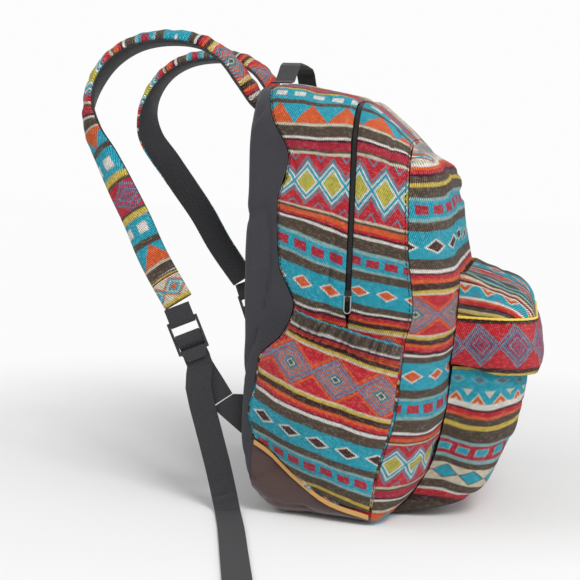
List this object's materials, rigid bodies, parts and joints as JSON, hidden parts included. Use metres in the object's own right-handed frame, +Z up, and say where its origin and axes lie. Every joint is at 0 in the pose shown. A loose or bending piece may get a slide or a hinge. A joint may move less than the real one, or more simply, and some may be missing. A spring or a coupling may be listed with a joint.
{
  "type": "backpack",
  "caption": "Woven fabric daypack with padded shoulder straps, a zipped main compartment, open side pockets and a deep zipped front pocket.",
  "frame": {"origin": "centre of the flat base, on the ground", "axes": "+X towards the wearer's right, +Y towards the straps and the wearer's back, +Z up"},
  "size_m": [0.6672, 0.4703, 0.4649],
  "materials": {
    "woven_cloth": "matte striped weave",
    "charcoal_cloth": "matte",
    "brown_suede": "napped",
    "gold_tape": "matte",
    "black_webbing": "matte woven",
    "black_plastic": "satin",
    "zip_metal": "brushed"
  },
  "bodies": {
    "bag": {"back_panel": "charcoal_cloth", "rear_gusset": "woven_cloth", "front_gusset": "woven_cloth", "front_panel": "woven_cloth", "base_boot": "brown_suede", "main_zip": "black_webbing", "front_pocket": "woven_cloth", "pocket_hood": "woven_cloth", "pocket_zip": "black_webbing", "haul_loop": "black_webbing", "base_trim_left": "gold_tape", "side_pocket_left": "woven_cloth", "pocket_hem_left": "woven_cloth", "shoulder_strap_left": "woven_cloth", "strap_lining_left": "black_webbing", "strap_tab_left": "black_webbing", "ladder_lock_left": "black_plastic", "lower_webbing_left": "black_webbing", "corner_tab_left": "black_webbing", "base_trim_right": "gold_tape", "side_pocket_right": "woven_cloth", "pocket_hem_right": "woven_cloth", "shoulder_strap_right": "woven_cloth", "strap_lining_right": "black_webbing", "strap_tab_right": "black_webbing", "ladder_lock_right": "black_plastic", "lower_webbing_right": "black_webbing", "corner_tab_right": "black_webbing"},
    "main_slider": {"main_slider": "zip_metal"},
    "main_pull": {"main_pull": "zip_metal"},
    "pocket_slider": {"pocket_slider": "zip_metal"},
    "pocket_pull": {"pocket_pull": "zip_metal"}
  },
  "joints": [
    {"name": "main_zip_slide", "type": "slide", "parent": "bag", "child": "main_slider", "axis": [0, 0, 1], "range_m": [0, 0.1]},
    {"name": "main_pull_hinge", "type": "hinge", "parent": "main_slider", "child": "main_pull", "pos_m": [-0.1506, -0.006, 0.217], "axis": [0, 1, 0], "range_deg": [0, 150]},
    {"name": "pocket_zip_slide", "type": "slide", "parent": "bag", "child": "pocket_slider", "axis": [-1, 0, 0], "range_m": [0, 0.12]},
    {"name": "pocket_pull_hinge", "type": "hinge", "parent": "pocket_slider", "child": "pocket_pull", "pos_m": [0.06, -0.1772, 0.1603], "axis": [-1, 0, 0], "range_deg": [0, 12]}
  ]
}
